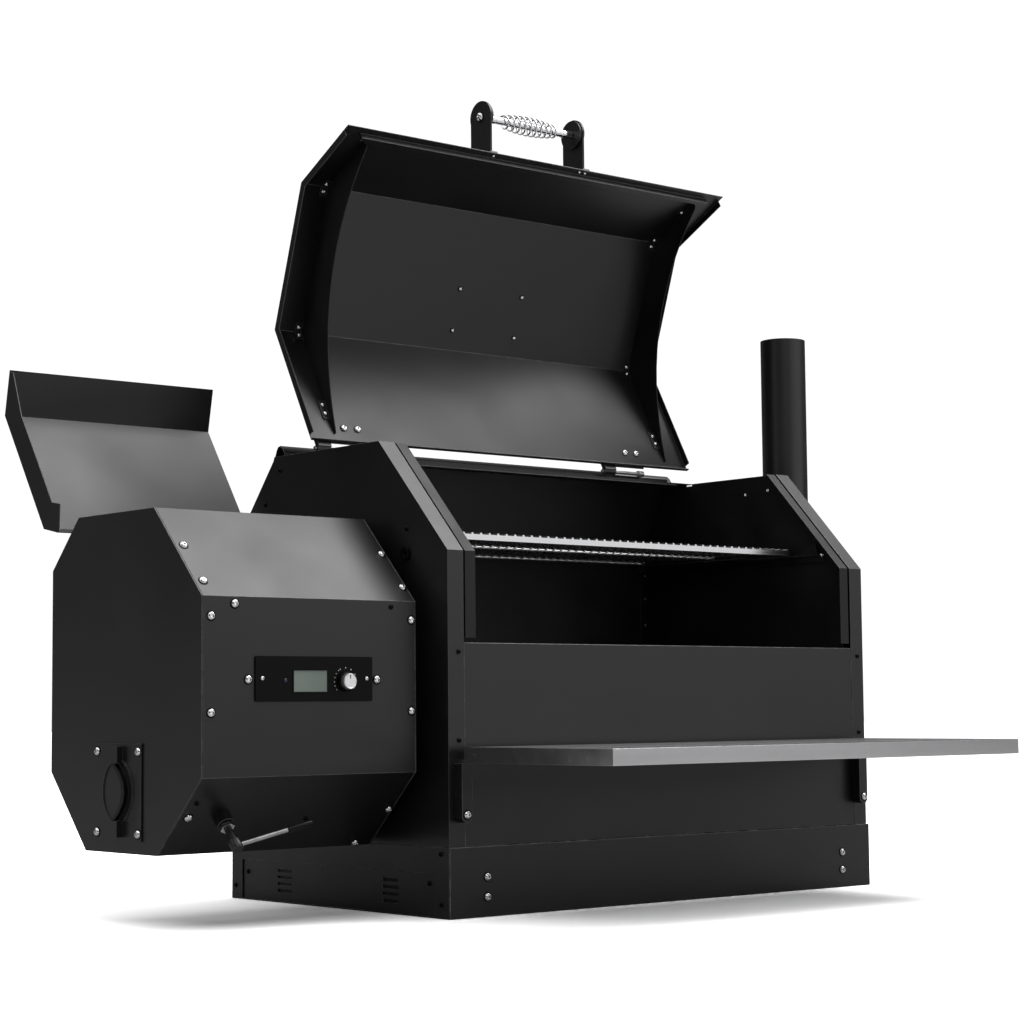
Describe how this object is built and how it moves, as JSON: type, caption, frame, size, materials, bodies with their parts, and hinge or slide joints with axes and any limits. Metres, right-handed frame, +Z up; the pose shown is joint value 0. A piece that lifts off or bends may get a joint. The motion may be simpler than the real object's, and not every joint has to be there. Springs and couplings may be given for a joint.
{
  "type": "built-in pellet smoker",
  "caption": "Built-in pellet smoker: black sheet-metal chamber on a plinth, faceted lid, side pellet hopper with its own lid, chimney, front shelf, racks and a screw feed.",
  "frame": {"origin": "Middle of the bounding box's footprint, on the surface that the plinth stands on, with both lids open and the shelf fitted.", "axes": "+X to the user's right, towards the chimney; +Y away from the user, towards the rear cover; +Z up."},
  "size_m": [1.4864, 0.9755, 1.365],
  "materials": {
    "black_coat": "satin black powder coat with a fine texture and brighter worn folds",
    "chamber_coat": "matt black high-temperature paint, lightly smoked",
    "stainless": "brushed along the length",
    "bright_metal": "polished chrome plate",
    "plain_steel": "bright zinc-plated steel, fine spangle",
    "cast_iron": "seasoned black, slightly grainy",
    "black_plastic": "moulded matt black",
    "display": "grey-green liquid-crystal window"
  },
  "bodies": {
    "casing": {"base_front_panel": "black_coat", "base_left_panel": "black_coat", "base_right_panel": "black_coat", "base_rear_panel": "black_coat", "base_deck": "black_coat", "base_vent_panel": "black_coat", "outer_wall_left": "black_coat", "outer_wall_right": "black_coat", "inner_wall_left": "chamber_coat", "inner_wall_right": "chamber_coat", "front_panel": "black_coat", "rear_cover": "black_coat", "chamber_back_panel": "chamber_coat", "chamber_floor": "chamber_coat", "rear_hinge_rail": "black_coat", "exhaust_elbow": "black_coat", "chimney_pipe": "black_coat", "hopper_end_cover": "black_coat", "hopper_inner_cover": "black_coat", "hopper_front_shell": "black_coat", "hopper_rear_shell": "black_coat", "pellet_bin": "plain_steel", "hopper_hinge_rail": "black_coat", "control_panel_plate": "black_plastic", "display_window": "display", "grip_plate": "black_coat", "crank_bush": "black_coat", "auger_tube": "plain_steel", "auger_gearmotor": "plain_steel", "fan_housing": "black_plastic", "fire_pot": "cast_iron", "heat_diffuser": "cast_iron", "drip_pan": "stainless", "main_grate_left": "cast_iron", "main_grate_right": "cast_iron", "upper_grate_rail_left": "chamber_coat", "upper_grate_rail_right": "chamber_coat", "shelf_bracket_left": "black_coat", "shelf_bracket_right": "black_coat", "lid_hinge_base_left": "plain_steel", "lid_hinge_base_right": "plain_steel", "probe_port_grommet": "black_plastic"},
    "lid": {"lid_shell": "black_coat", "lid_end_left": "chamber_coat", "lid_end_right": "chamber_coat", "lid_badge_plate": "bright_metal", "handle_bracket_left": "black_coat", "handle_bracket_right": "black_coat", "handle_rod": "bright_metal", "handle_coil": "bright_metal", "lid_hinge_leaf_left": "black_coat", "lid_hinge_leaf_right": "black_coat"},
    "hopper_lid": {"hopper_lid": "black_coat"},
    "shelf": {"front_shelf": "stainless"},
    "upper_rack": {"upper_grate": "stainless"},
    "knob": {"control_knob": "bright_metal"},
    "grip": {"grip_bail": "black_coat"},
    "crank": {"crank_handle": "plain_steel"},
    "auger": {"auger_screw": "plain_steel"},
    "fan": {"fan_impeller": "black_plastic"}
  },
  "joints": [
    {"name": "lid_hinge", "type": "hinge", "parent": "casing", "child": "lid", "pos_m": [0.1432, 0.266, 0.747], "axis": [1, 0, 0], "range_deg": [0, 118.2]},
    {"name": "hopper_lid_hinge", "type": "hinge", "parent": "casing", "child": "hopper_lid", "pos_m": [-0.5408, 0.3073, 0.581], "axis": [1, 0, 0], "range_deg": [0, 124.4]},
    {"name": "shelf_lift", "type": "slide", "parent": "casing", "child": "shelf", "axis": [0, 0, 1], "range_m": [0, 0.06]},
    {"name": "upper_grate_slide", "type": "slide", "parent": "casing", "child": "upper_rack", "axis": [0, 1, 0], "range_m": [-0.25, 0]},
    {"name": "knob_turn", "type": "hinge", "parent": "casing", "child": "knob", "pos_m": [-0.4838, -0.0987, 0.3548], "axis": [0, -1, 0], "range_deg": [-135, 135]},
    {"name": "grip_bail_swing", "type": "hinge", "parent": "casing", "child": "grip", "pos_m": [-0.7392, 0.1273, 0.196], "axis": [0, 0, -1], "range_deg": [0, 90]},
    {"name": "crank_turn", "type": "hinge", "parent": "casing", "child": "crank", "pos_m": [-0.6588, -0.0357, 0.1622], "axis": [0, -0.694, -0.72], "range_deg": [-30, 90]},
    {"name": "auger_spin", "type": "hinge", "parent": "casing", "child": "auger", "pos_m": [-0.5408, 0.1283, 0.176], "axis": [1, 0, 0], "continuous": true},
    {"name": "fan_spin", "type": "hinge", "parent": "casing", "child": "fan", "pos_m": [-0.4238, 0.1963, 0.158], "axis": [1, 0, 0], "continuous": true}
  ]
}
